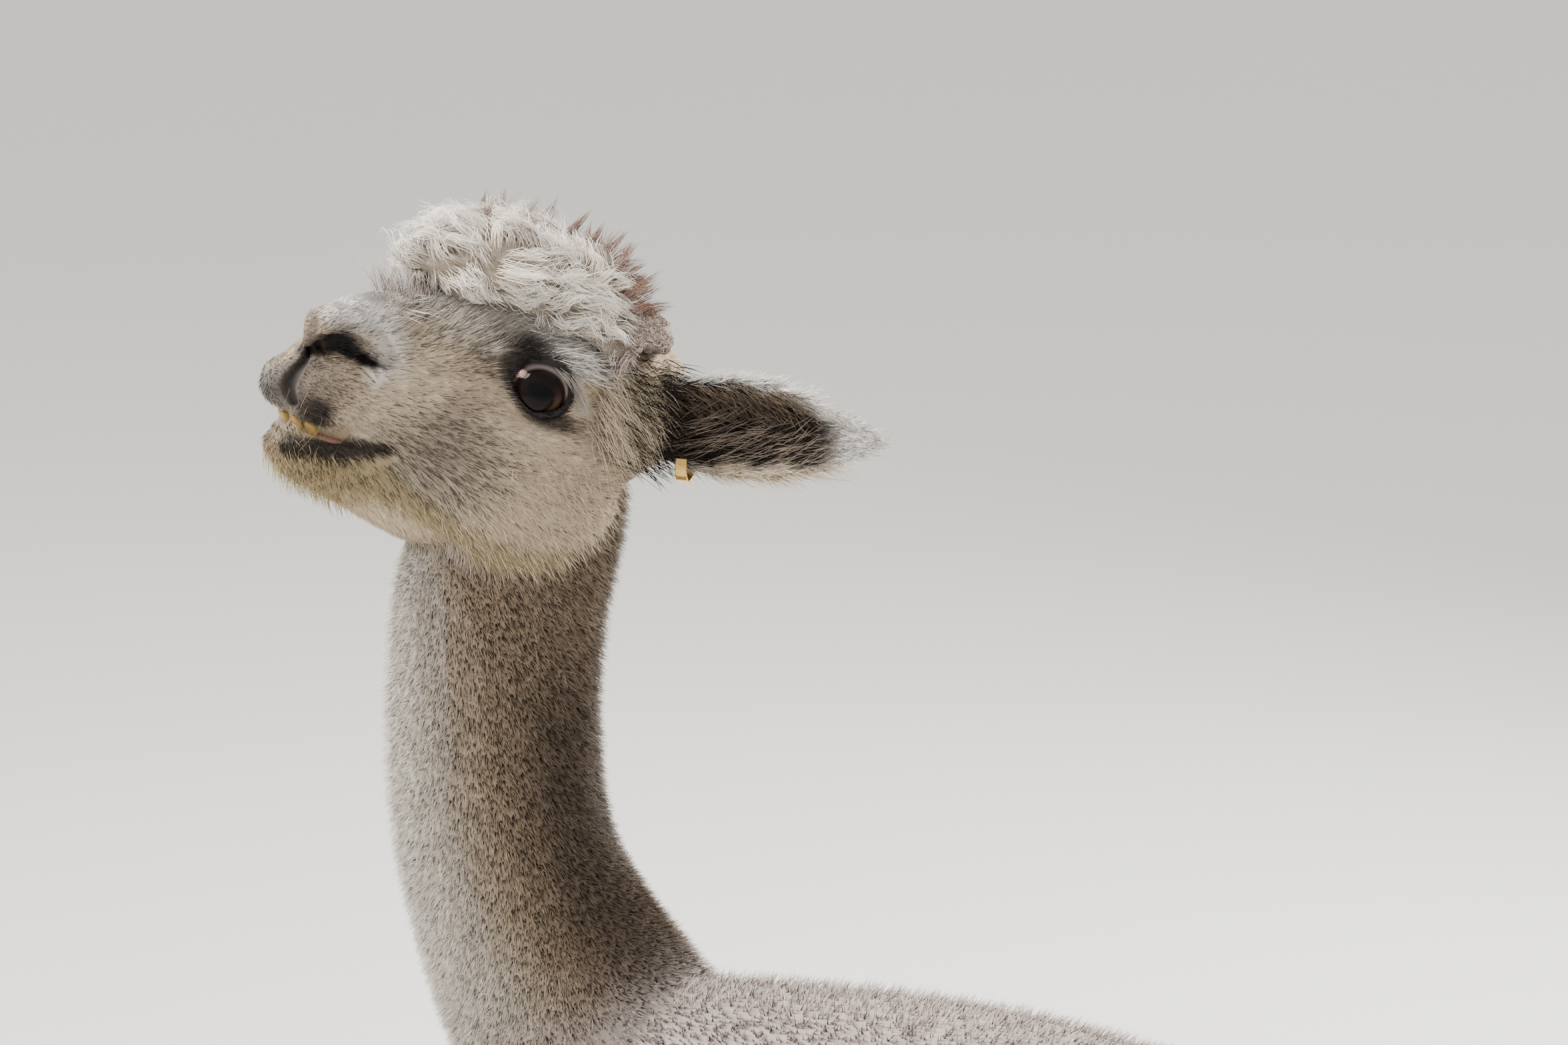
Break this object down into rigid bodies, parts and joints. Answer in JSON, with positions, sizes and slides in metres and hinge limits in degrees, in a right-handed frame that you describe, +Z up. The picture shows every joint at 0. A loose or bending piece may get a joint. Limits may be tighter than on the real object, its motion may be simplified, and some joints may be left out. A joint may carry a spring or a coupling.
{
  "type": "alpaca",
  "caption": "Life-size model of a freshly shorn huacaya alpaca with a woolly topknot, standing square and looking round to its left, with a small metal ear tag.",
  "frame": {"origin": "on the floor, under the middle of the animal's bounding box", "axes": "+Z up, +X towards the chest, +Y to the animal's left"},
  "size_m": [0.9846, 0.337, 1.3506],
  "materials": {
    "fleece": "short shorn grey-beige fleece, matte",
    "face_hair": "short cream hair flecked with dark grey, matte",
    "wool": "ivory wavy wool, matte",
    "ear_hair": "near-black short hair with pale fringes",
    "eye": "wet and glossy, dark brown",
    "nail": "dark horn, satin",
    "tooth": "yellowed tooth enamel, satin",
    "brass_tag": "worn brass"
  },
  "bodies": {
    "root": {"torso": "fleece", "neck": "fleece", "leg_front_left": "fleece", "leg_front_right": "fleece", "leg_hind_left": "fleece", "leg_hind_right": "fleece", "head": "face_hair", "topknot": "wool", "tail": "wool", "ear_left": "ear_hair", "ear_right": "ear_hair", "eye_left": "eye", "eye_right": "eye", "ear_tag": "brass_tag", "nail_front_left_a": "nail", "nail_front_left_b": "nail", "nail_front_right_a": "nail", "nail_front_right_b": "nail", "nail_hind_left_a": "nail", "nail_hind_left_b": "nail", "nail_hind_right_a": "nail", "nail_hind_right_b": "nail"}
  },
  "joints": []
}
